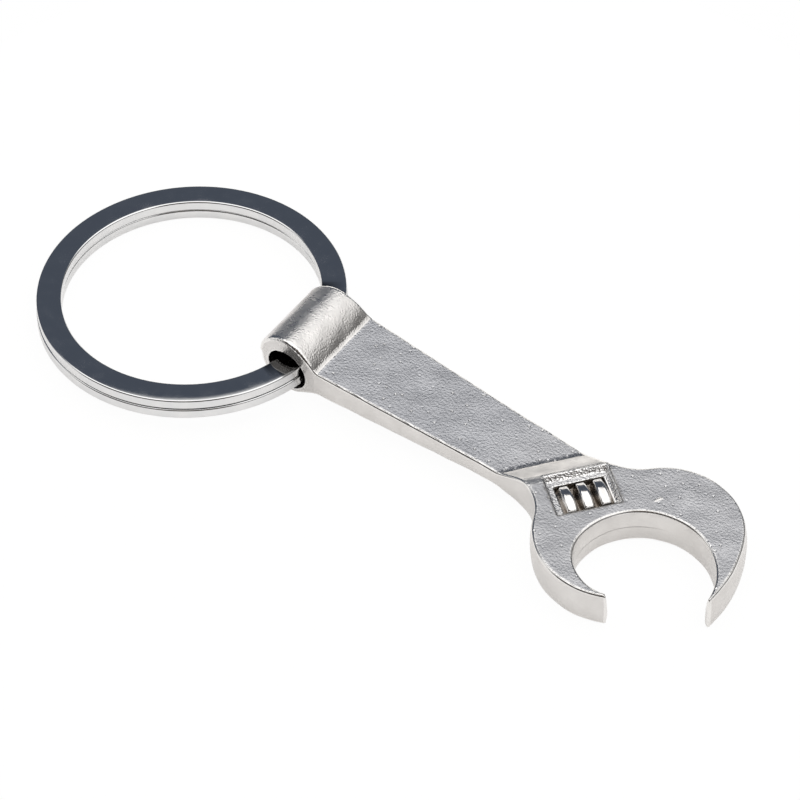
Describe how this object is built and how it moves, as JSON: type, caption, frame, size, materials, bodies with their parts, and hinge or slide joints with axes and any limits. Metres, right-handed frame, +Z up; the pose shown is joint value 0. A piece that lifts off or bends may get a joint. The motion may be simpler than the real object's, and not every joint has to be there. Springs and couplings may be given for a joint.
{
  "type": "keychain bottle opener",
  "caption": "Small cast wrench-shaped bottle opener: a tapered shank with an adjustable-wrench head at one end and a bored barrel on a flat split key ring at the other.",
  "frame": {"origin": "on the ground under the centre of the bounding box, with the opener lying flat", "axes": "+X along the shank towards the head's mouth, +Y across the shank along the barrel's axis, +Z up"},
  "size_m": [0.0774, 0.03, 0.0064],
  "materials": {
    "casting": "satin nickel plate on a zinc casting, with a fine sand texture on the flat faces",
    "ring_wire": "bright nickel plate on steel wire"
  },
  "bodies": {
    "opener": {"wrench_body": "casting"},
    "ring": {"split_ring": "ring_wire"}
  },
  "joints": [
    {"name": "ring_swing", "type": "hinge", "parent": "opener", "child": "ring", "pos_m": [-0.01044, 0.00161, 0.00275], "axis": [0, 1, 0], "range_deg": [-168, 175]}
  ]
}
